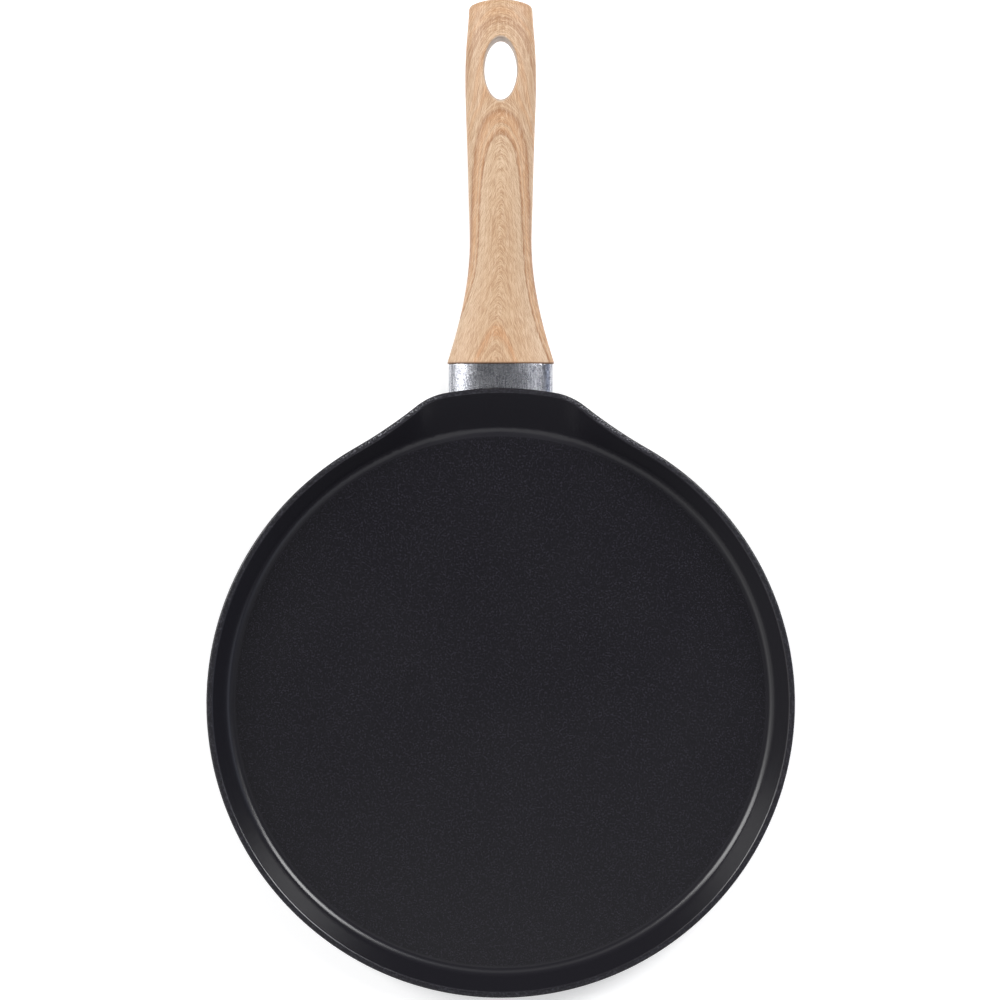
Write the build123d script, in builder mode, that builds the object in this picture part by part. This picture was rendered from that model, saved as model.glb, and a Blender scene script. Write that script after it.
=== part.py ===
from build123d import *
from math import acos, atan2, cos, degrees, radians, sin, tan
import os

# Crepe pan: a low cast dish with a shoulder for its handle, a steel disc set
# in the base, a metal sleeve, a moulded grip, and the screw that holds the grip.
# Lengths are in millimetres. The origin is the centre of the base's underside,
# +Z is up and the handle runs along +Y.

# Dish; the rim radius is that of the sharp edge, before it is rounded
rim_radius = 140.65
rim_height = 20.0
rim_land = 3.4
rim_edge_fillet = 0.8
wall_run = 6.1
floor_thickness = 5.0
floor_fillet = 4.5
underside_fillet = 9.0
base_pad_setback = 22.65
base_pad_step = 0.6

# Shoulder of the rim at the handle, which reaches out past the round rim
lip_reach = 10.75
lip_half_angle = 10.0
lip_corner_radius = 30.0
lip_blend_radius = 200.0

# Middles and ends of the two arcs that close each side of the round rim, as shares of its turn
round_arc_shares = (0.25, 0.5, 0.75, 1.0)
half_turn = 180.0

# Steel disc in the base, with rings of round holes that the casting fills
disc_setback = 13.0
disc_thickness = 0.6
disc_hole_radius = 4.0
disc_ring_pitch = 19.0
disc_holes_per_ring_step = 6

# Sleeve between the dish and the grip
sleeve_width = 49.8
sleeve_height = 15.0
sleeve_wall = 1.2
sleeve_length = 14.0
sleeve_clearance = 0.34
sleeve_centre_height = 8.8
sleeve_edge_fillet = 0.3
sleeve_pitch = 2.0
oval_share = 0.62

# Boss under the shoulder, its register in the sleeve, and the tang
boss_length = 20.0
register_depth = 2.5
register_clearance = 0.15
tang_width = 26.0
tang_thickness = 6.0
tang_length = 39.0
tang_rise = 2.2
tang_root = 5.0
tang_corner_radius = 2.0

# Boss sections: share of its length back from the face, and of the sleeve's width.
# The boss widens towards the wall, as a casting does.
boss_section_shares = [(0.0, 1.0), (0.4, 1.03), (0.75, 1.14), (1.0, 1.32)]

# Grip
grip_middle_pitch = 11.0
grip_end_pitch = 5.0
grip_length = 170.3
grip_width = 33.5
grip_height = 18.5
grip_overhang = 0.85
grip_base_fillet = 0.5
grip_end_radius = 42.0
grip_end_fillet = 3.0
spigot_depth = 4.0
spigot_clearance = 0.2
socket_clearance = 0.25
socket_end_gap = 1.0

# Grip sections: share of the length, of the grip width and of the grip height.
# The first section is the sleeve's own oval and the last lies past the rounded end.
grip_section_shares = [
    (0.07, 1.322, 0.89),
    (0.14, 1.137, 0.90),
    (0.21, 0.996, 0.92),
    (0.28, 0.907, 0.95),
    (0.40, 0.893, 0.99),
    (0.54, 0.932, 1.00),
    (0.70, 0.986, 0.97),
    (0.81, 0.998, 0.92),
    (0.90, 0.948, 0.85),
    (1.03, 0.920, 0.72),
]

# Hanging eye
eye_width = 15.4
eye_length = 28.6
eye_to_end = 32.5
eye_edge_fillet = 1.2

# Screw and its washers
thread_diameter = 5.0
thread_clearance = 0.05
screw_length = 10.0
screw_reach = 31.0
screw_head_diameter = 9.6
screw_head_height = 2.8
screw_head_fillet = 1.4
cross_width = 1.1
cross_length = 5.2
cross_depth = 1.9
washer_hole_diameter = 5.3
flat_washer_diameter = 10.0
flat_washer_thickness = 0.8
spring_washer_diameter = 8.6
spring_washer_thickness = 1.2
spring_washer_slit = 0.9
grip_hole_diameter = 5.5
seat_thickness = 1.6
recess_diameter = 11.0

# One overrun serves all cuts
overrun = 1.0


# Values worked out from the sizes above
floor_radius = rim_radius - rim_land - wall_run
base_pad_radius = rim_radius - base_pad_setback
disc_radius = base_pad_radius - disc_setback
lip_radius = rim_radius + lip_reach
wall_lean = wall_run / (rim_height - floor_thickness)
underside_radius = rim_radius - wall_lean * (rim_height - base_pad_step)
lip_lean = (lip_radius - underside_radius) / (rim_height - base_pad_step)
sleeve_top_drop = rim_height - sleeve_centre_height - sleeve_height / 2
sleeve_start = lip_radius - lip_lean * sleeve_top_drop + sleeve_clearance
joint_y = sleeve_start + sleeve_length
start_slope, middle_slope, end_slope = (
    tan(radians(pitch)) for pitch in (sleeve_pitch, grip_middle_pitch, grip_end_pitch)
)
joint_height = sleeve_centre_height + sleeve_length * start_slope
grip_end_y = joint_y + grip_length
along_sleeve = Vector(0, cos(radians(sleeve_pitch)), sin(radians(sleeve_pitch)))
skew = 1 / cos(radians(sleeve_pitch))


def polar(radius, angle):
    """Point at an angle in degrees, measured from the handle's direction towards +X."""
    return (radius * sin(radians(angle)), radius * cos(radians(angle)))


def shoulder_points(inset):
    """Right half of the rim outline, moved inwards by inset: joints and mid-arc points in turn.

    The lip's arc runs into a convex corner, the corner into a concave blend, and the
    blend into the round rim. Each arc is tangent to the next.
    """
    lip, rim = lip_radius - inset, rim_radius - inset
    corner, blend = lip_corner_radius - inset, lip_blend_radius + inset
    near, far = lip - corner, rim + blend
    opening = acos((near**2 + far**2 - (corner + blend) ** 2) / (2 * near * far))
    join_angle = lip_half_angle + degrees(opening)
    corner_centre = Vector(*polar(near, lip_half_angle))
    blend_centre = Vector(*polar(far, join_angle))
    across = (blend_centre - corner_centre).normalized()
    turn = corner_centre + across * corner
    corner_out = (corner_centre.normalized() + across).normalized()
    blend_out = (across + blend_centre.normalized()).normalized()
    corner_middle = corner_centre + corner_out * corner
    blend_middle = blend_centre - blend_out * blend
    round_angles = [join_angle + (half_turn - join_angle) * share for share in round_arc_shares]
    start = [polar(lip, 0), polar(lip, lip_half_angle)]
    bend = [(p.X, p.Y) for p in (corner_middle, turn, blend_middle)]
    return start + bend + [polar(rim, join_angle)] + [polar(rim, a) for a in round_angles]


def ring_points(radius, inset):
    """Points of a circle at the polar angles of the shoulder points, so that walls stay radial."""
    return [polar(radius, degrees(atan2(x, y))) for x, y in shoulder_points(inset)]


def outline(points):
    """Closed outline of tangent arcs from the right half's points, mirrored to the left."""
    (_, top), (right_x, right_y) = points[0], points[1]
    ThreePointArc((-right_x, right_y), (0, top), (right_x, right_y))
    for side in (1, -1):
        half = [(side * x, y) for x, y in points]
        ThreePointArc(half[1], half[2], half[3])
        ThreePointArc(half[3], half[4], half[5])
        ThreePointArc(half[5], half[6], half[7])
        ThreePointArc(half[7], half[8], half[9])


def oval(width, height, centre):
    """Oval of four curves about a centre on the sketch's upright axis."""
    half_width, half_height = width / 2, height / 2
    for right, up in ((1, 1), (-1, 1), (-1, -1), (1, -1)):
        side = (right * half_width, centre)
        side_pull = (right * half_width, centre + up * oval_share * half_height)
        top_pull = (right * oval_share * half_width, centre + up * half_height)
        Bezier(side, side_pull, top_pull, (0, centre + up * half_height))


def grip_centre_height(share):
    """Height of the grip's centre line at a share of its length.

    Its slope is a parabola through the slopes at the start, the middle and the end.
    """
    climb = 4 * middle_slope - 3 * start_slope - end_slope
    turn = 2 * (start_slope + end_slope - 2 * middle_slope)
    rise = start_slope * share + climb * share**2 / 2 + turn * share**3 / 3
    return joint_height + grip_length * rise


# The tang's own plane: its normal runs along the tang, from the boss's face.
tang_start = Vector(0, sleeve_start, sleeve_centre_height + tang_rise)
tang_plane = Plane(origin=tang_start, x_dir=(1, 0, 0), z_dir=along_sleeve)

# The screw's plane: its normal runs up the screw, from the middle of the tang.
screw_point = tang_start + along_sleeve * screw_reach
screw_up = Vector(0, -along_sleeve.Z, along_sleeve.Y)
screw_plane = Plane(origin=screw_point, x_dir=(1, 0, 0), z_dir=screw_up)
seat_drop = tang_thickness / 2 + socket_clearance + seat_thickness
flat_washer_drop = seat_drop + flat_washer_thickness
spring_washer_drop = flat_washer_drop + spring_washer_thickness
head_drop = spring_washer_drop + screw_head_height


# Steel disc, flush with the base's underside
with BuildPart() as induction_disc:
    with BuildSketch(Plane.XY):
        Circle(disc_radius)
        ring_count = int((disc_radius - 2 * disc_hole_radius) // disc_ring_pitch)
        for ring in range(1, ring_count + 1):
            with PolarLocations(ring * disc_ring_pitch, ring * disc_holes_per_ring_step):
                Circle(disc_hole_radius, mode=Mode.SUBTRACT)
    extrude(amount=disc_thickness)

# Dish with its boss and tang, cast in one
with BuildPart() as pan_body:
    with BuildSketch(Plane.XY.offset(base_pad_step)):
        with BuildLine():
            outline(ring_points(underside_radius, 0))
        make_face()
    with BuildSketch(Plane.XY.offset(rim_height)):
        with BuildLine():
            outline(shoulder_points(0))
        make_face()
    loft(ruled=True)
    low_edges = pan_body.edges().group_by(Axis.Z)[0]
    fillet(low_edges, underside_fillet)
    with BuildSketch(Plane.XY):
        Circle(base_pad_radius)
    extrude(amount=base_pad_step)
    # The boss runs level from its face back into the wall
    for back, wide in boss_section_shares:
        with BuildSketch(Plane.XZ.offset(back * boss_length - sleeve_start)):
            with BuildLine():
                oval(wide * sleeve_width, sleeve_height, sleeve_centre_height)
            make_face()
    loft()
    # Cavity, rounded where the wall meets the floor
    with BuildSketch(Plane.XY.offset(floor_thickness)):
        with BuildLine():
            outline(ring_points(floor_radius, rim_land))
        make_face()
    with BuildSketch(Plane.XY.offset(rim_height)):
        with BuildLine():
            outline(shoulder_points(rim_land))
        make_face()
    loft(ruled=True, mode=Mode.SUBTRACT)
    floor_edges = pan_body.edges().filter_by_position(Axis.Z, floor_thickness, floor_thickness)
    fillet(floor_edges, floor_fillet)
    rim_edges = pan_body.edges().filter_by_position(Axis.Z, rim_height, rim_height)
    fillet(rim_edges, rim_edge_fillet)
    # Register that centres the sleeve
    with BuildSketch(Plane.XZ.offset(-sleeve_start)):
        with BuildLine():
            inset = 2 * (sleeve_wall + register_clearance)
            oval(sleeve_width - inset, sleeve_height - inset, sleeve_centre_height)
        make_face()
    extrude(amount=register_depth * skew, dir=along_sleeve)
    # Tang, with the hole that the screw bites into
    with BuildSketch(tang_plane.offset(-tang_root)):
        RectangleRounded(tang_width, tang_thickness, tang_corner_radius)
    extrude(amount=tang_root + tang_length)
    with BuildSketch(screw_plane):
        Circle(thread_diameter / 2)
    extrude(amount=tang_thickness / 2 + overrun, both=True, mode=Mode.SUBTRACT)
    add(induction_disc.part, mode=Mode.SUBTRACT)

# Sleeve that keeps the flame off the grip
with BuildPart() as flame_guard:
    with BuildSketch(Plane.XZ.offset(-sleeve_start)):
        with BuildLine():
            oval(sleeve_width, sleeve_height, sleeve_centre_height)
        make_face()
    extrude(amount=sleeve_length * skew, dir=along_sleeve)
    fillet(flame_guard.edges().group_by(Axis.Y)[0], sleeve_edge_fillet)
    fillet(flame_guard.edges().group_by(Axis.Y)[-1], sleeve_edge_fillet)
    with BuildSketch(Plane.XZ.offset(-sleeve_start)):
        with BuildLine():
            bore_inset = 2 * sleeve_wall
            oval(sleeve_width - bore_inset, sleeve_height - bore_inset, sleeve_centre_height)
        make_face()
    extrude(amount=sleeve_length * skew, dir=along_sleeve, mode=Mode.SUBTRACT)

# Moulded grip
with BuildPart() as handle_grip:
    base_width = sleeve_width + 2 * grip_overhang
    base_height = sleeve_height + 2 * grip_overhang
    sections = [(0, base_width, base_height)]
    for along, wide, high in grip_section_shares:
        sections.append((along, wide * grip_width, high * grip_height))
    for along, width, height in sections:
        with BuildSketch(Plane.XZ.offset(-(joint_y + along * grip_length))):
            with BuildLine():
                oval(width, height, grip_centre_height(along))
            make_face()
    loft()
    fillet(handle_grip.edges().group_by(Axis.Y)[0], grip_base_fillet)
    # Rounded end: all that lies past the end's arc goes
    end_middle = (0, grip_end_y - grip_end_radius)
    with BuildSketch(Plane.XY):
        with Locations(end_middle):
            Rectangle(2 * grip_end_radius, 2 * grip_end_radius, align=(Align.CENTER, Align.MIN))
            Circle(grip_end_radius, mode=Mode.SUBTRACT)
    extrude(amount=2 * grip_centre_height(1), mode=Mode.SUBTRACT)
    end_face = handle_grip.faces().sort_by(Axis.Y)[-1]
    fillet(end_face.edges(), grip_end_fillet)
    # Hanging eye
    with BuildSketch(Plane.XY):
        with Locations((0, grip_end_y - eye_to_end)):
            Ellipse(eye_width / 2, eye_length / 2)
    extrude(amount=2 * grip_centre_height(1), mode=Mode.SUBTRACT)
    eye_wall = handle_grip.faces().filter_by(GeomType.EXTRUSION).sort_by(Axis.Y)[-1]
    fillet(eye_wall.edges(), eye_edge_fillet)
    # Spigot that fits in the sleeve
    with BuildSketch(Plane.XZ.offset(-joint_y)):
        with BuildLine():
            spigot_inset = 2 * (sleeve_wall + spigot_clearance)
            oval(sleeve_width - spigot_inset, sleeve_height - spigot_inset, joint_height)
        make_face()
    extrude(amount=spigot_depth * skew, dir=-along_sleeve)
    # Socket for the tang
    with BuildSketch(tang_plane):
        socket_width = tang_width + 2 * socket_clearance
        socket_height = tang_thickness + 2 * socket_clearance
        RectangleRounded(socket_width, socket_height, tang_corner_radius)
    extrude(amount=tang_length + socket_end_gap, mode=Mode.SUBTRACT)
    # Screw hole, and the recess for its head below the seat
    with BuildSketch(screw_plane):
        Circle(grip_hole_diameter / 2)
    extrude(amount=-seat_drop - overrun, mode=Mode.SUBTRACT)
    with BuildSketch(screw_plane.offset(-seat_drop)):
        Circle(recess_diameter / 2)
    extrude(amount=-grip_height, mode=Mode.SUBTRACT)

# Pan-head screw with a cross recess, driven up from below
with BuildPart() as handle_screw:
    with BuildSketch(screw_plane.offset(-head_drop)):
        Circle(screw_head_diameter / 2)
    extrude(amount=screw_head_height)
    fillet(handle_screw.edges().group_by(Axis.Z)[0], screw_head_fillet)
    with BuildSketch(screw_plane.offset(-spring_washer_drop)):
        Circle(thread_diameter / 2 - thread_clearance)
    extrude(amount=screw_length)
    with BuildSketch(screw_plane.offset(-head_drop)):
        Rectangle(cross_length, cross_width)
        Rectangle(cross_width, cross_length)
    extrude(amount=cross_depth, mode=Mode.SUBTRACT)

# Flat washer under the grip's seat
with BuildPart() as flat_washer:
    with BuildSketch(screw_plane.offset(-flat_washer_drop)):
        Circle(flat_washer_diameter / 2)
        Circle(washer_hole_diameter / 2, mode=Mode.SUBTRACT)
    extrude(amount=flat_washer_thickness)

# Split spring washer, pressed flat
with BuildPart() as spring_washer:
    with BuildSketch(screw_plane.offset(-spring_washer_drop)):
        Circle(spring_washer_diameter / 2)
        Circle(washer_hole_diameter / 2, mode=Mode.SUBTRACT)
        Rectangle(
            spring_washer_diameter, spring_washer_slit, align=(Align.MIN, Align.CENTER), mode=Mode.SUBTRACT
        )
    extrude(amount=spring_washer_thickness)

os.makedirs("parts", exist_ok=True)
pieces = {
    "pan_body": pan_body,
    "induction_disc": induction_disc,
    "flame_guard": flame_guard,
    "handle_grip": handle_grip,
    "handle_screw": handle_screw,
    "flat_washer": flat_washer,
    "spring_washer": spring_washer,
}
for name, piece in pieces.items():
    piece.part.label = name
    export_step(piece.part, f"parts/{name}.step")
    print(name, round(piece.part.volume), "mm3")
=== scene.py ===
# %% [markdown]
# # A crepe pan with a wood-look grip
# The solids come from a CAD model, already at their true size and place. This lesson gives
# them their surfaces: a speckled non-stick coating, turned metal on the base, a drawn
# aluminium sleeve and a printed wood grain. All lengths are in metres, +Z is up and the
# handle runs along +Y.

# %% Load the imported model
from math import cos, radians, sin

import bpy
import numpy as np
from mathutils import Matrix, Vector

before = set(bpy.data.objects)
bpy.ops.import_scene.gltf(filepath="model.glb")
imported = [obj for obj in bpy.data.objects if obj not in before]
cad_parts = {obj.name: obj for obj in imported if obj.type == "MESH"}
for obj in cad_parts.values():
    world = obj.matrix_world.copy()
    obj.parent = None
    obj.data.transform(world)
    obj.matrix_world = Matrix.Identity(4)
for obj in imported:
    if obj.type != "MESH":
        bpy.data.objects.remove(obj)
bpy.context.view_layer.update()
millimetre = 0.001
print("nodes:", sorted(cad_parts))

# %% [markdown]
# ## Camera
# The photograph looks straight down. Its scale and the offset between the pan's floor and
# rim put the camera about 1.5 m above the rim, over a point part of the way to the handle.
# A camera with no rotation already looks down along -Z with +Y at the top of the picture.

# %% Camera
camera_place = (-0.00033, 0.09695, 1.520)
camera_lens, sensor_width = 113.4, 36.0
camera = bpy.data.objects.new("camera", bpy.data.cameras.new("camera"))
camera.location = camera_place
camera.data.lens = camera_lens
camera.data.sensor_width = sensor_width
bpy.context.scene.collection.objects.link(camera)
bpy.context.scene.camera = camera
print("camera at", camera_place, "with a lens of", camera_lens, "mm")

# %% [markdown]
# ## Small helpers for node trees
# A material is a graph of nodes, and every node reads from its input sockets. The first
# helpers feed a socket with a link or a plain value, add any node, and do sums on numbers
# and vectors. A sum returns its node's output socket, so sums can be nested like ordinary
# formulas.

# %% Sums with nodes
def feed(socket, value):
    """Links an output to an input socket, or sets a plain value on it."""
    if isinstance(value, bpy.types.NodeSocket):
        socket.id_data.links.new(value, socket)
    else:
        socket.default_value = value


def add(tree, kind, feeds, **settings):
    """Adds a node of this kind, with its settings, and feeds its inputs by name or number."""
    made = tree.nodes.new("ShaderNode" + kind)
    for name, value in settings.items():
        setattr(made, name, value)
    for key, value in feeds.items():
        feed(made.inputs[key], value)
    return made


def maths(tree, operation, *values):
    """One sum, product or other operation on sockets or numbers."""
    return add(tree, "Math", dict(enumerate(values)), operation=operation).outputs[0]


def product(tree, *factors):
    """Two or more factors multiplied together."""
    result = factors[0]
    for factor in factors[1:]:
        result = maths(tree, "MULTIPLY", result, factor)
    return result


def between(tree, share, low, high):
    """Number that goes from low to high while the share goes from 0 to 1."""
    return maths(tree, "MULTIPLY_ADD", share, high - low, low)


def combine(tree, **parts):
    """Vector from its X, Y and Z. A part that is left out is 0."""
    return add(tree, "CombineXYZ", parts).outputs[0]


def vector_maths(tree, operation, *vectors):
    """One operation on vectors, which gives a number for a length or a dot product."""
    made = add(tree, "VectorMath", dict(enumerate(vectors)), operation=operation)
    return made.outputs["Value" if operation in ("LENGTH", "DOT_PRODUCT") else "Vector"]


print("helpers for sums ready")

# %% [markdown]
# ## Masks, blends and colours
# A mask is a number from 0 to 1 that says how much of an effect shows at a point. The next
# helpers turn a value into a soft mask, blend two things by a mask, and make noise, curves
# and colours. Colours are written as a screen shows them and turned into linear light.

# %% Masks, blends and colours
def ramp_up(tree, value, low, high):
    """Mask that rises smoothly from 0 to 1 while the value goes from low to high."""
    feeds = {"Value": value, "From Min": low, "From Max": high}
    return add(tree, "MapRange", feeds, interpolation_type="SMOOTHSTEP").outputs["Result"]


def blend(tree, share, first, second, kind="FLOAT"):
    """Number, vector or colour between first and second."""
    first_input, output = {"FLOAT": (2, 0), "VECTOR": (4, 1), "RGBA": (6, 2)}[kind]
    feeds = {0: share, first_input: first, first_input + 1: second}
    return add(tree, "Mix", feeds, data_type=kind).outputs[output]


def blend_colour(tree, share, first, second):
    """Colour between first and second."""
    return blend(tree, share, first, second, "RGBA")


def noise(tree, place, scale, detail, roughness):
    """Soft random values between 0 and 1, centred on one half."""
    feeds = {"Vector": place, "Scale": scale, "Detail": detail, "Roughness": roughness}
    return add(tree, "TexNoise", feeds).outputs["Fac"]


def curve(tree, value, points):
    """Smooth curve through (x, y) points, both from 0 to 1."""
    made = add(tree, "FloatCurve", {"Value": value})
    line = made.mapping.curves[0]
    line.points[0].location, line.points[-1].location = points[0], points[-1]
    for point in points[1:-1]:
        line.points.new(*point)
    made.mapping.update()
    return made.outputs["Value"]


def colour_ramp(tree, value, stops):
    """Colour that follows a value through (place, colour) stops."""
    made = add(tree, "ValToRGB", {"Fac": value})
    line = made.color_ramp
    line.elements[0].position, line.elements[-1].position = stops[0][0], stops[-1][0]
    for place, _ in stops[1:-1]:
        line.elements.new(place)
    for element, (_, colour) in zip(line.elements, stops):
        element.color = colour
    return made.outputs["Color"]


def paint(red, green, blue):
    """Linear colour with full opacity, from the 0 to 255 values that a screen shows."""
    share = np.array([red, green, blue]) / 255
    linear = np.where(share <= 0.04045, share / 12.92, ((share + 0.055) / 1.055) ** 2.4)
    return (*linear.tolist(), 1.0)


print("a mid grey of 128 is", round(paint(128, 128, 128)[0], 3), "in linear light")

# %% [markdown]
# ## Shared effects
# Three effects turn up on several finishes, so each is a node group with its own inputs:
# a fine grain, streaks that run one way, and large soft patches from handling.

# %% Shared effect groups
def effect(name, inputs, output):
    """Empty node group with named number or vector inputs and one number output."""
    tree = bpy.data.node_groups.new(name, "ShaderNodeTree")
    for label, value in inputs.items():
        kind = "NodeSocketVector" if label == "Place" else "NodeSocketFloat"
        socket = tree.interface.new_socket(label, in_out="INPUT", socket_type=kind)
        if value is not None:
            socket.default_value = value
    tree.interface.new_socket(output, in_out="OUTPUT", socket_type="NodeSocketFloat")
    return tree, tree.nodes.new("NodeGroupInput").outputs, tree.nodes.new("NodeGroupOutput")


def use_effect(tree, group, **feeds):
    """Places an effect group in a material and returns its one output."""
    made = tree.nodes.new("ShaderNodeGroup")
    made.node_tree = group
    for key, value in feeds.items():
        feed(made.inputs[key], value)
    return made.outputs[0]


grain_effect, given, made = effect("fine_grain", {"Place": None, "Pitch": 0.001}, "Level")
grain_scale = maths(grain_effect, "DIVIDE", 1.0, given["Pitch"])
grain = noise(grain_effect, given["Place"], grain_scale, detail=3.0, roughness=0.7)
feed(made.inputs["Level"], grain)

streak_inputs = {"Across": 0.0, "Along": 0.0, "Pitch": 0.0005, "Length": 0.02}
streak_effect, given, made = effect("streaks", streak_inputs, "Level")
across = maths(streak_effect, "DIVIDE", given["Across"], given["Pitch"])
along = maths(streak_effect, "DIVIDE", given["Along"], given["Length"])
streak_place = combine(streak_effect, X=across, Y=along)
streaks = noise(streak_effect, streak_place, scale=1.0, detail=3.0, roughness=0.65)
feed(made.inputs["Level"], streaks)

patch_effect, given, made = effect("patches", {"Place": None, "Size": 0.05}, "Level")
patch_scale = maths(patch_effect, "DIVIDE", 1.0, given["Size"])
soft_patches = noise(patch_effect, given["Place"], patch_scale, detail=2.0, roughness=0.55)
feed(made.inputs["Level"], soft_patches)
print("effects:", [group.name for group in bpy.data.node_groups])

# %% [markdown]
# ## Starting a material
# Every finish starts from a Principled shader and the object's own coordinates. The pieces
# sit at the origin with their place in their mesh, so these are real metres on the part.
# The roughness given at the start is a typical value, and most finishes then link a pattern
# over it.

# %% Material starter
def start_material(name, roughness, metallic=0.0, specular=0.5):
    """New material: its tree, its shader, the object's coordinates and x, y and z."""
    material = bpy.data.materials.new(name)
    material.use_nodes = True
    tree = material.node_tree
    shader = tree.nodes["Principled BSDF"]
    feeds = {"Roughness": roughness, "Metallic": metallic, "Specular IOR Level": specular}
    for key, value in feeds.items():
        feed(shader.inputs[key], value)
    place = add(tree, "TexCoord", {}).outputs["Object"]
    parts = add(tree, "SeparateXYZ", {0: place}).outputs
    return material, tree, shader, place, (parts["X"], parts["Y"], parts["Z"])


def radius_of(tree, x, y):
    """Distance from the pan's axis."""
    return vector_maths(tree, "LENGTH", combine(tree, X=x, Y=y))


def bump(tree, shader, height, depth, under=None):
    """Fine relief: a height of 0 to 1 stands for this many metres, over the normal under it."""
    feeds = {"Height": height, "Distance": depth}
    if under is not None:
        feeds["Normal"] = under
    feed(shader.inputs["Normal"], add(tree, "Bump", feeds).outputs["Normal"])


def dress(material, *names):
    """Gives the material to CAD nodes."""
    for name in names:
        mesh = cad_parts[name].data
        mesh.materials.clear()
        mesh.materials.append(material)
    print(material.name, "on", ", ".join(names))


# %% [markdown]
# ## Coated casting: where each finish lies
# The dish is cast aluminium under a black non-stick coating. One material does all of it,
# with masks from the height, from the distance to the pan's axis and from the way that the
# surface faces. Each pair of numbers is where a mask starts and where it is full, so a pair
# that falls gives a mask for all that lies below or inside.

# %% Masks of the casting
floor_heights, floor_radii = (0.003, 0.0045), (0.1279, 0.1268)
base_heights, base_radii = (0.0004, 0.0002), (0.1183, 0.1178)
land_heights = (0.01990, 0.01998)
outer_facing = (0.10, -0.10)

casting, tree, shader, place, (x, y, z) = start_material("coated_casting", 0.4)
radius = radius_of(tree, x, y)
facing = add(tree, "NewGeometry", {}).outputs["Normal"]
upward = add(tree, "SeparateXYZ", {0: facing}).outputs["Z"]
radial = vector_maths(tree, "NORMALIZE", combine(tree, X=x, Y=y))
outward = vector_maths(tree, "DOT_PRODUCT", facing, radial)

above_floor = ramp_up(tree, z, *floor_heights)
floor_mask = product(tree, above_floor, ramp_up(tree, radius, *floor_radii))
turned_mask = product(tree, ramp_up(tree, z, *base_heights), ramp_up(tree, radius, *base_radii))
land_mask = ramp_up(tree, z, *land_heights)
outer_mask = ramp_up(tree, upward, *outer_facing)
print("masks of", casting.name, "ready")

# %% [markdown]
# ## Coated casting: colour
# The coating is speckled where food lies, on the rim's flat land and outside. Its inner wall
# is plain and a little lighter. Beside the grip, small grey dots on the rim's outer edge are
# painted glints that stand in for the lamps' highlights there. On the base the coating is
# turned away, which leaves bare metal with fine rings.

# %% Colour of the casting
speckle_levels, land_levels, glint_levels = (0.50, 0.66), (0.50, 0.62), (0.52, 0.60)
edge_heights, edge_facing, line_facing = (0.0190, 0.0195), (-0.03, 0.03), (0.45, 0.15)
beside_along, beside_across = (0.105, 0.130), (0.026, 0.034)
coat_black, wall_black = paint(19, 18, 23), paint(32, 31, 36)
speck_grey, land_grey, glint_grey = paint(38, 36, 44), paint(50, 49, 56), paint(158, 158, 164)
bare_dark, bare_light = paint(176, 176, 178), paint(206, 205, 204)

speckle = use_effect(tree, grain_effect, Place=place, Pitch=0.0008)
coarse_speckle = use_effect(tree, grain_effect, Place=place, Pitch=0.0011)
ring_level = use_effect(tree, streak_effect, Across=radius, Pitch=0.0004)

black_mask = maths(tree, "MAXIMUM", floor_mask, land_mask)
speckled = maths(tree, "MAXIMUM", black_mask, outer_mask)
coat_colour = blend_colour(tree, black_mask, wall_black, coat_black)
bright_speck = product(tree, ramp_up(tree, speckle, *speckle_levels), speckled)
coat_colour = blend_colour(tree, bright_speck, coat_colour, speck_grey)
land_speck = product(tree, land_mask, ramp_up(tree, coarse_speckle, *land_levels))
coat_colour = blend_colour(tree, land_speck, coat_colour, land_grey)

# Painted glints: grey dots along the rim's outer edge beside the grip stand in for the lamps'
# highlights.
rim_edge = product(tree, ramp_up(tree, z, *edge_heights), ramp_up(tree, outward, *edge_facing))
rim_line = product(tree, rim_edge, ramp_up(tree, outward, *line_facing))
side = ramp_up(tree, maths(tree, "ABSOLUTE", x), *beside_across)
beside_grip = product(tree, ramp_up(tree, y, *beside_along), side)
painted_glint = product(tree, rim_line, beside_grip, ramp_up(tree, speckle, *glint_levels))
coat_colour = blend_colour(tree, painted_glint, coat_colour, glint_grey)

bare_colour = blend_colour(tree, ring_level, bare_dark, bare_light)
feed(shader.inputs["Base Color"], blend_colour(tree, turned_mask, coat_colour, bare_colour))
feed(shader.inputs["Metallic"], turned_mask)
print("colour of", casting.name, "ready")

# %% [markdown]
# ## Coated casting: roughness and relief
# Roughness decides how wide a highlight spreads. The inside is smooth enough to show soft
# pictures of the lamps, and the land and the outside are rougher. The relief is a height
# from 0 to 1, which the bump node below turns into tiny hills.

# %% Roughness and relief of the casting
coat_roughest, coat_smoothest = 0.28, 0.20
land_share, outer_roughness = 0.5, 0.12
floor_relief, land_relief, turned_relief = 0.35, 1.8, 0.35

patches = use_effect(tree, patch_effect, Place=place, Size=0.06)
smooth_part = between(tree, patches, coat_smoothest, coat_roughest)
rough_part = maths(tree, "MULTIPLY_ADD", land_mask, land_share, outer_mask)
coat_roughness = maths(tree, "MULTIPLY_ADD", rough_part, outer_roughness, smooth_part)
bare_roughness = between(tree, ring_level, 0.22, 0.42)
feed(shader.inputs["Roughness"], blend(tree, turned_mask, coat_roughness, bare_roughness))

fine_relief = product(tree, speckle, floor_mask, floor_relief)
coarse_mask = maths(tree, "MULTIPLY_ADD", land_mask, land_relief, outer_mask)
coat_relief = maths(tree, "MULTIPLY_ADD", coarse_speckle, coarse_mask, fine_relief)
relief = blend(tree, turned_mask, coat_relief, product(tree, ring_level, turned_relief))
print("roughness and relief of", casting.name, "ready")

# %% [markdown]
# ## Coated casting: the exact ring
# A CAD mesh is made of flat facets, and on a shiny round wall they show as waves. A bump
# node may start from any normal, so the floor, the fillet and the inner wall get the normal
# of the exact ring. Its lean towards the axis follows from the radius alone: none on the
# floor, more and more through the fillet, and steady on the wall. The lean is a sine, so
# the upright part is the root of one less its square. The shoulder at the handle isn't a
# ring, so the mask leaves it out and it keeps the mesh's own normal.

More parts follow.
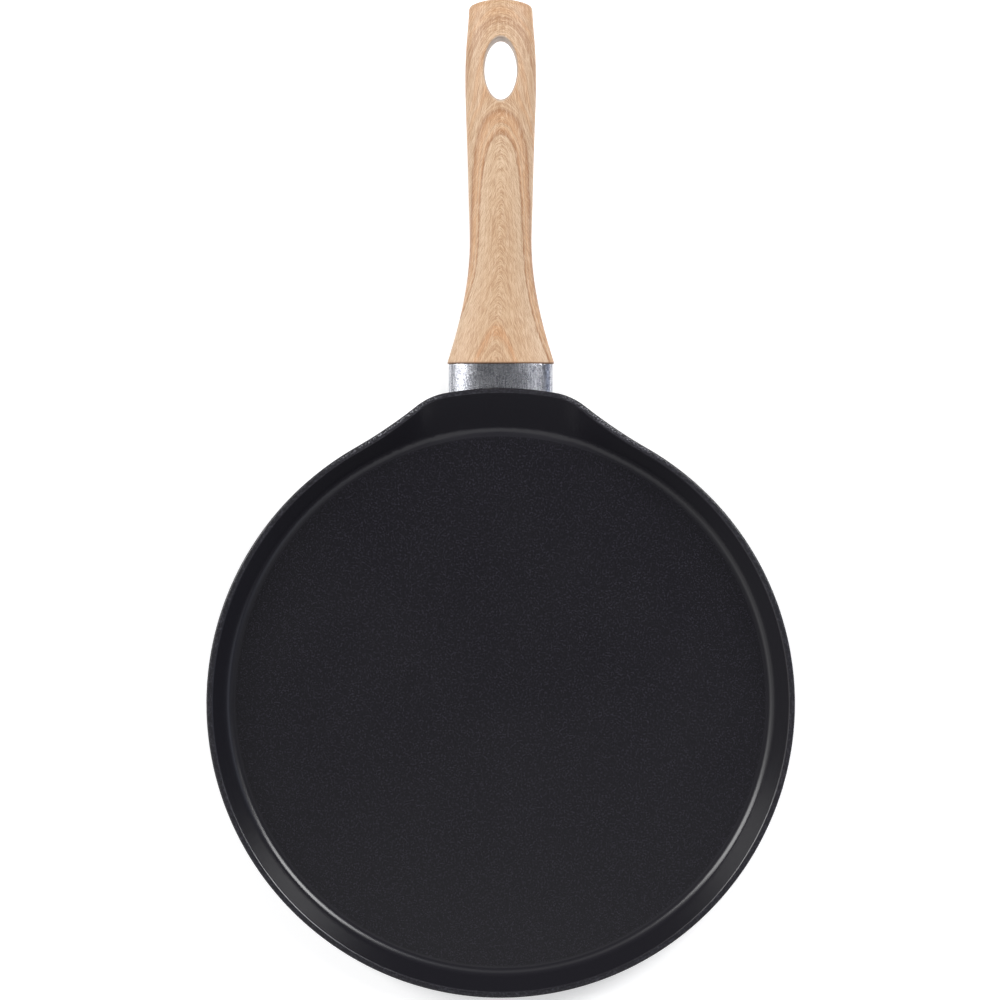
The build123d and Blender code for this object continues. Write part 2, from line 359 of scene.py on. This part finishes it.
# %% Ring normal of the casting
fillet_start, fillet_radius, wall_lean = 0.12812, 0.0045, 0.927
wall_heights, ring_along, wall_facing = (0.0192, 0.0188), (0.095, 0.070), (0.30, 0.10)

lean = maths(tree, "DIVIDE", maths(tree, "SUBTRACT", radius, fillet_start), fillet_radius)
lean = maths(tree, "MINIMUM", maths(tree, "MAXIMUM", lean, 0.0), wall_lean)
rise = maths(tree, "SQRT", maths(tree, "SUBTRACT", 1.0, product(tree, lean, lean)))
inward = vector_maths(tree, "MULTIPLY", radial, product(tree, lean, -1.0))
ring_normal = vector_maths(tree, "ADD", inward, combine(tree, Z=rise))

on_wall = product(tree, above_floor, ramp_up(tree, z, *wall_heights))
on_ring = product(tree, ramp_up(tree, y, *ring_along), ramp_up(tree, outward, *wall_facing))
inner_mask = product(tree, on_wall, on_ring)
true_normal = blend(tree, inner_mask, facing, ring_normal, "VECTOR")
bump(tree, shader, relief, 0.05 * millimetre, under=true_normal)
dress(casting, "pan_body")

# %% [markdown]
# ## Base steel
# The disc in the base is turned on a lathe, so its streaks are rings about the pan's axis.
# The same streak group draws them when it is fed with the radius.

# %% Base steel
stain_levels, stain_strength = (0.55, 0.8), 0.35
steel_dark, steel_light = paint(150, 149, 146), paint(186, 184, 180)
stain_brown = paint(142, 136, 128)

steel, tree, shader, place, (x, y, _) = start_material("base_steel", 0.35, metallic=1.0)
ring_level = use_effect(tree, streak_effect, Across=radius_of(tree, x, y), Pitch=0.0006)
patches = use_effect(tree, patch_effect, Place=place, Size=0.04)
ring_colour = blend_colour(tree, ring_level, steel_dark, steel_light)
stain = product(tree, ramp_up(tree, patches, *stain_levels), stain_strength)
feed(shader.inputs["Base Color"], blend_colour(tree, stain, ring_colour, stain_brown))
feed(shader.inputs["Roughness"], between(tree, ring_level, 0.22, 0.47))
bump(tree, shader, ring_level, 0.03 * millimetre)
dress(steel, "induction_disc")

# %% [markdown]
# ## Sleeve aluminium
# The sleeve is drawn aluminium. Its fine streaks run along the handle, and a small grain
# scatters the light into sparkling points.

# %% Sleeve aluminium
streak_share, sparkle_share = 0.35, 0.65
worked_levels = (0.41, 0.59)
drawn_dark, drawn_light = paint(100, 102, 112), paint(216, 217, 222)

aluminium, tree, shader, place, (x, y, z) = start_material("sleeve_aluminium", 0.35, metallic=1.0)
around = maths(tree, "ADD", x, z)
streak_level = use_effect(
    tree, streak_effect, Across=around, Along=y, Pitch=0.0005, Length=0.006
)
sparkle = use_effect(tree, grain_effect, Place=place, Pitch=0.0004)
patches = use_effect(tree, patch_effect, Place=place, Size=0.012)
sparkle_part = product(tree, sparkle, sparkle_share)
worked = maths(tree, "MULTIPLY_ADD", streak_level, streak_share, sparkle_part)
worked_mask = ramp_up(tree, worked, *worked_levels)
feed(shader.inputs["Base Color"], blend_colour(tree, worked_mask, drawn_dark, drawn_light))
feed(shader.inputs["Roughness"], between(tree, patches, 0.23, 0.31))
bump(tree, shader, worked, 0.03 * millimetre)
dress(aluminium, "flame_guard")

# %% [markdown]
# ## Zinc-plated fasteners
# The screw and its washers sit in a recess under the grip. Zinc is a cool, slightly
# mottled grey.

# %% Fastener steel
zinc_dark, zinc_light = paint(178, 180, 184), paint(208, 210, 214)
zinc, tree, shader, place, _ = start_material("fastener_steel", 0.3, metallic=1.0)
mottle = use_effect(tree, grain_effect, Place=place, Pitch=0.002)
feed(shader.inputs["Base Color"], blend_colour(tree, mottle, zinc_dark, zinc_light))
feed(shader.inputs["Roughness"], between(tree, mottle, 0.2, 0.4))
bump(tree, shader, mottle, 0.02 * millimetre)
dress(zinc, "handle_screw", "flat_washer", "spring_washer")

# %% [markdown]
# ## Printed wood grain: the rings
# The grip is a moulding under a film printed as light flat-sawn wood. Flat-sawn boards show
# nested arches, because the saw cuts the tree's rings at a low angle. The arches are the
# contour lines of one number: the square of the share across the grip, plus a height that
# rises along it. Where that height rises fast the arches are close together, and where it
# rises slowly they run out into straight lines. Noise makes the lines waver.

# %% Wood rings
grip_start, grip_length = 0.1622, 0.1703
widest_half = 0.030
half_width_points = [
    (0.0, 0.858), (0.07, 0.738), (0.14, 0.635), (0.21, 0.556), (0.28, 0.506), (0.40, 0.499),
    (0.54, 0.520), (0.70, 0.551), (0.81, 0.557), (0.90, 0.529), (1.0, 0.517),
]
rise_span = 3.5
rise_points = [
    (0.0, 0.0), (0.084, 0.135), (0.203, 0.372), (0.302, 0.498), (0.469, 0.644),
    (0.586, 0.867), (0.629, 1.019), (0.665, 1.201), (0.727, 1.638), (0.80, 1.827),
    (0.839, 1.939), (0.877, 2.149), (0.909, 2.365), (0.936, 2.695), (1.0, 3.45),
]
shift_shares, shift_at_sleeve = (0.04, 0.30), -0.0024
wobble_strength, fine_strength = 0.06, 0.025

wood, tree, shader, place, (x, y, _) = start_material("wood_look_moulding", 0.42)
share_along = maths(tree, "DIVIDE", maths(tree, "SUBTRACT", y, grip_start), grip_length)
coarse_noise = noise(tree, place, scale=90.0, detail=3.0, roughness=0.6)
fine_noise = noise(tree, place, scale=600.0, detail=2.0, roughness=0.6)
wobble = maths(tree, "SUBTRACT", coarse_noise, 0.5)
fine_wobble = maths(tree, "SUBTRACT", fine_noise, 0.5)

half_width = product(tree, curve(tree, share_along, half_width_points), widest_half)
axis_shift = between(tree, ramp_up(tree, share_along, *shift_shares), shift_at_sleeve, 0.0)
from_axis = maths(tree, "SUBTRACT", x, axis_shift)
share_across = maths(tree, "DIVIDE", from_axis, half_width)
share_across = maths(tree, "MULTIPLY_ADD", wobble, wobble_strength, share_across)

rise_shares = [(share, level / rise_span) for share, level in rise_points]
height = product(tree, curve(tree, share_along, rise_shares), rise_span)
rings = maths(tree, "MULTIPLY_ADD", share_across, share_across, height)
rings = maths(tree, "MULTIPLY_ADD", wobble, wobble_strength, rings)
rings = maths(tree, "MULTIPLY_ADD", fine_wobble, fine_strength, rings)
print("wood rings from", rise_points[0][1], "to", rise_points[-1][1])

# %% [markdown]
# ## Printed wood grain: the bands
# A colour ramp turns the ring number into bands of colour. Its stops follow the bands in the
# photograph, from the sleeve to the far end. One ramp holds 32 stops at most.

# %% Wood bands
light_wood, mid_wood = paint(206, 178, 148), paint(195, 162, 129)
warm_wood, dark_wood = paint(202, 158, 117), paint(169, 119, 78)
flank_wood, vein_wood = paint(210, 168, 129), paint(192, 144, 103)
deep_wood = paint(148, 101, 65)
ring_span = 3.6
ring_stops = [
    (0.00, mid_wood), (0.09, mid_wood), (0.12, vein_wood), (0.165, vein_wood),
    (0.20, mid_wood), (0.55, mid_wood), (0.90, light_wood), (1.00, light_wood),
    (1.025, deep_wood), (1.07, dark_wood), (1.10, flank_wood), (1.15, light_wood),
    (1.19, vein_wood), (1.24, flank_wood), (1.40, dark_wood), (1.45, deep_wood),
    (1.52, mid_wood), (1.63, light_wood), (1.76, mid_wood), (1.90, warm_wood),
    (2.04, light_wood), (2.22, warm_wood), (2.34, light_wood), (2.50, mid_wood),
    (2.60, light_wood), (2.68, deep_wood), (2.75, mid_wood), (2.84, deep_wood),
    (2.90, mid_wood), (3.10, warm_wood), (3.26, mid_wood), (3.6, warm_wood),
]
ring_share = maths(tree, "DIVIDE", rings, ring_span)
ring_colour = colour_ramp(tree, ring_share, [(level / ring_span, c) for level, c in ring_stops])
print("wood bands:", len(ring_stops), "stops")

# %% [markdown]
# ## Printed wood grain: fine lines and flecks
# Real wood has lines inside its bands, pale streaks along the board and short flecks across
# them. The lines follow the rings. The flecks lie on small arches of their own, pointed near
# the sleeve and rounder towards the far end. Every layer is a mask with a strength.

# %% Fine lines and flecks
tip_rounding, pointed_slope, rounded_slope = 0.000002, 2.4, 95.0
rounding_shares, fleck_wobble = (0.62, 0.84), 0.0010
fleck_pitch, fleck_length = 0.00055, 0.0020
line_shares, wash_shares = (0.55, 0.70), (0.50, 0.75)

ring_streak = use_effect(tree, streak_effect, Across=rings, Along=y, Pitch=0.013, Length=0.03)
long_streak = use_effect(tree, streak_effect, Across=x, Along=y, Pitch=0.0006, Length=0.012)

squared = product(tree, from_axis, from_axis)
tip = maths(tree, "SQRT", maths(tree, "ADD", squared, tip_rounding))
pointed, rounded = product(tree, tip, pointed_slope), product(tree, squared, rounded_slope)
bent = blend(tree, ramp_up(tree, share_along, *rounding_shares), pointed, rounded)
arch = maths(tree, "MULTIPLY_ADD", fine_wobble, fleck_wobble, maths(tree, "ADD", y, bent))
fleck = use_effect(
    tree, streak_effect, Across=arch, Along=from_axis, Pitch=fleck_pitch, Length=fleck_length
)

line_strength = between(tree, ramp_up(tree, share_along, *line_shares), 0.65, 0.95)
darker = product(tree, ramp_up(tree, ring_streak, 0.49, 0.58), line_strength)
wash = product(tree, ramp_up(tree, share_along, *wash_shares), 0.18)
lighter = product(tree, ramp_up(tree, long_streak, 0.5, 0.66), 0.42)
pale_fleck = product(tree, ramp_up(tree, fleck, 0.50, 0.36), 0.50)
dark_fleck = product(tree, ramp_up(tree, fleck, 0.51, 0.62), 0.72)
print("lines and flecks of", wood.name, "ready")

# %% [markdown]
# ## Printed wood grain: eye, edge and surface
# The wall of the hanging eye is greyer. At the sleeve the grip's edge carries a painted shade:
# a dark brown line where the grip overhangs the sleeve. All the layers are then laid over the
# bands, one after another.

# %% Wood surface
eye_middle, eye_half_width, eye_half_length = 0.3, 0.0077, 0.0143
eye_edge, eye_strength = (1.10, 1.02), 0.75
edge_starts, edge_full, edge_shade_strength = grip_start + 0.0010, grip_start + 0.0004, 0.8

eye_across = maths(tree, "DIVIDE", x, eye_half_width)
eye_along = maths(tree, "DIVIDE", maths(tree, "SUBTRACT", y, eye_middle), eye_half_length)
eye_radius = vector_maths(tree, "LENGTH", combine(tree, X=eye_across, Y=eye_along))
eye_wall = product(tree, ramp_up(tree, eye_radius, *eye_edge), eye_strength)
# Painted shade: a dark brown line on the grip's edge next to the sleeve, where the grip overhangs
# it.
sleeve_edge_shade = product(tree, ramp_up(tree, y, edge_starts, edge_full), edge_shade_strength)

grain_colour = ring_colour
for share, layer_colour in (
    (wash, paint(172, 131, 97)),
    (darker, paint(167, 125, 89)),
    (lighter, paint(222, 197, 170)),
    (pale_fleck, paint(225, 200, 171)),
    (dark_fleck, paint(159, 119, 86)),
    (eye_wall, paint(184, 172, 162)),
    (sleeve_edge_shade, paint(112, 80, 56)),
):
    grain_colour = blend_colour(tree, share, grain_colour, layer_colour)
feed(shader.inputs["Base Color"], grain_colour)
feed(shader.inputs["Roughness"], between(tree, long_streak, 0.40, 0.52))
bump(tree, shader, maths(tree, "SUBTRACT", long_streak, dark_fleck), 0.01 * millimetre)
dress(wood, "handle_grip")

# %% [markdown]
# ## Smooth shading for the CAD meshes
# The CAD meshes are loose flat triangles. A small geometry node group joins them, shades
# them smooth and keeps every edge sharper than 50 degrees. The Weighted Normal modifier
# then lets large faces set the shading, so that flat parts look flat next to their fillets.

# %% Smooth shading
merge_distance = 0.000001
sharp_angle = radians(50)
smoother = bpy.data.node_groups.new("smooth_shading", "GeometryNodeTree")
for direction in ("INPUT", "OUTPUT"):
    smoother.interface.new_socket("Geometry", in_out=direction, socket_type="NodeSocketGeometry")
entry, leave = smoother.nodes.new("NodeGroupInput"), smoother.nodes.new("NodeGroupOutput")
merge = smoother.nodes.new("GeometryNodeMergeByDistance")
merge.inputs["Distance"].default_value = merge_distance
all_smooth = smoother.nodes.new("GeometryNodeSetShadeSmooth")
edge_angle = smoother.nodes.new("GeometryNodeInputMeshEdgeAngle")
is_sharp = smoother.nodes.new("FunctionNodeCompare")
is_sharp.inputs["B"].default_value = sharp_angle
keep_sharp = smoother.nodes.new("GeometryNodeSetShadeSmooth")
keep_sharp.domain = "EDGE"
keep_sharp.inputs["Shade Smooth"].default_value = False
for source, target in (
    (entry.outputs["Geometry"], merge.inputs["Geometry"]),
    (merge.outputs["Geometry"], all_smooth.inputs["Geometry"]),
    (all_smooth.outputs["Geometry"], keep_sharp.inputs["Geometry"]),
    (edge_angle.outputs["Unsigned Angle"], is_sharp.inputs["A"]),
    (is_sharp.outputs["Result"], keep_sharp.inputs["Selection"]),
    (keep_sharp.outputs["Geometry"], leave.inputs["Geometry"]),
):
    smoother.links.new(source, target)

for name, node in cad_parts.items():
    node.modifiers.new("smooth shading", "NODES").node_group = smoother
    weighted = node.modifiers.new("weighted normals", "WEIGHTED_NORMAL")
    weighted.keep_sharp = True
print("smoothed", len(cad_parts), "nodes")

# %% [markdown]
# ## Floor
# The pan lies on a white table. A white floor in soft light is a little grey, so rays from
# the camera and from shiny surfaces see a small glow added to it. The glow adds no light
# to the pan, and the floor still takes the pan's shadow.

# %% Floor
floor_half, floor_drop = 30.0, 0.0002
glow_radii, glow_near, glow_far = (0.5, 1.6), 0.42, 0.97
table_grey, white = (0.82, 0.82, 0.82, 1.0), (1.0, 1.0, 1.0, 1.0)


def seen_mask(tree):
    """Mask of 1 for rays from the camera, from shiny surfaces and through clear ones."""
    rays = add(tree, "LightPath", {}).outputs
    seen = maths(tree, "MAXIMUM", rays["Is Camera Ray"], rays["Is Glossy Ray"])
    return maths(tree, "MAXIMUM", seen, rays["Is Transmission Ray"])


corners = [(-1, -1), (1, -1), (1, 1), (-1, 1)]
floor_mesh = bpy.data.meshes.new("floor")
floor_points = [(floor_half * a, floor_half * b, -floor_drop) for a, b in corners]
floor_mesh.from_pydata(floor_points, [], [(0, 1, 2, 3)])
floor = bpy.data.objects.new("floor", floor_mesh)
bpy.context.scene.collection.objects.link(floor)

table_white, tree, shader, _, (x, y, _) = start_material("table_white", 0.9, specular=0.0)
far = ramp_up(tree, radius_of(tree, x, y), *glow_radii)
glow = product(tree, seen_mask(tree), between(tree, far, glow_near, glow_far))
feed(shader.inputs["Base Color"], table_grey)
feed(shader.inputs["Emission Color"], white)
feed(shader.inputs["Emission Strength"], glow)
floor_mesh.materials.append(table_white)
print("floor of", 2 * floor_half, "m")

# %% [markdown]
# ## Softboxes
# The highlights on the pan's fillet show where the lamps stood: two tall softboxes, one high
# at the upper right and one high at the upper left. A softbox is an area lamp turned towards
# the pan. Each row gives its turn from +X and its height above the table in degrees, then
# its width, its length and its power.

# %% Softboxes
def towards(turn, rise):
    """Unit vector at this turn from +X and this height above the table, in degrees."""
    flat = cos(radians(rise))
    return Vector((cos(radians(turn)) * flat, sin(radians(turn)) * flat, sin(radians(rise))))


target = Vector((0.0, 0.06, 0.0))
softboxes = {
    "softbox_right": (36.5, 46.0, 0.54, 0.95, 19.5),
    "softbox_left": (156.5, 41.0, 0.50, 1.20, 15.8),
}
softbox_distance = 1.6
for name, (turn, rise, width, tall, power) in softboxes.items():
    lamp = bpy.data.lights.new(name, "AREA")
    lamp.shape = "RECTANGLE"
    lamp.size, lamp.size_y, lamp.energy = width, tall, power
    holder = bpy.data.objects.new(name, lamp)
    away = towards(turn, rise)
    holder.location = target + away * softbox_distance
    holder.rotation_euler = away.to_track_quat("Z", "Y").to_euler()
    bpy.context.scene.collection.objects.link(holder)
    print(name, "at", [round(v, 2) for v in holder.location])

# %% [markdown]
# ## World
# The world stands for the room: a soft band of light half way up and a dark ceiling where
# the camera hangs, both from one curve over the height. The side behind the handle is
# dimmer, and so is a patch beside the right lamp. Three soft cards add light: a pale one at
# the left, a low one at the right and a small bright one high in front. Light from the
# right is a little cooler. A haze hides the floor's far edge and lights no matt surface.
# Each card's row gives its turn and its height, how far from its middle it is full and
# where it ends, all in degrees, and its level.

# %% World
band_points = [
    (0.0, 0.08), (0.45, 0.12), (0.62, 0.39), (0.72, 0.73), (0.82, 0.73), (0.90, 0.30),
    (0.96, 0.08), (1.0, 0.03),
]
rear_range, rear_dimming = (0.0, 0.6), 0.35
haze_heights = (0.05, 0.0)
cool_white = (0.80, 0.88, 1.10, 1.0)
dim_patch, cool_side = (8, 46, 14, 30, 0.92), (10, 35, 10, 60, 1.0)
cards = {
    "left": (188, 18, 15, 50, 0.60),
    "low right": (0, 8, 14, 32, 0.60),
    "high front": (270, 72, 4, 15, 0.70),
}

world = bpy.data.worlds.new("studio")
world.use_nodes = True
bpy.context.scene.world = world
tree = world.node_tree
background = tree.nodes["Background"]
direction = add(tree, "TexCoord", {}).outputs["Generated"]
_, backward, upward = add(tree, "SeparateXYZ", {0: direction}).outputs


def card(turn, rise, inner, outer, level):
    """Soft card in the world: its level within inner degrees of its middle, none past outer."""
    near = vector_maths(tree, "DOT_PRODUCT", direction, towards(turn, rise))
    return product(tree, ramp_up(tree, near, cos(radians(outer)), cos(radians(inner))), level)


band = curve(tree, maths(tree, "MAXIMUM", upward, 0.0), band_points)
rear = ramp_up(tree, backward, *rear_range)
dimmed = maths(tree, "MULTIPLY_ADD", rear, rear_dimming, card(*dim_patch))
room = product(tree, band, maths(tree, "SUBTRACT", 1.0, dimmed))
for card_values in cards.values():
    room = maths(tree, "ADD", room, card(*card_values))
haze = product(tree, seen_mask(tree), ramp_up(tree, upward, *haze_heights))
room_colour = blend_colour(tree, card(*cool_side), white, cool_white)
feed(background.inputs["Color"], room_colour)
feed(background.inputs["Strength"], maths(tree, "MAXIMUM", room, haze))
bpy.context.scene.view_settings.view_transform = "Standard"
print("world with", len(cards), "cards ready")
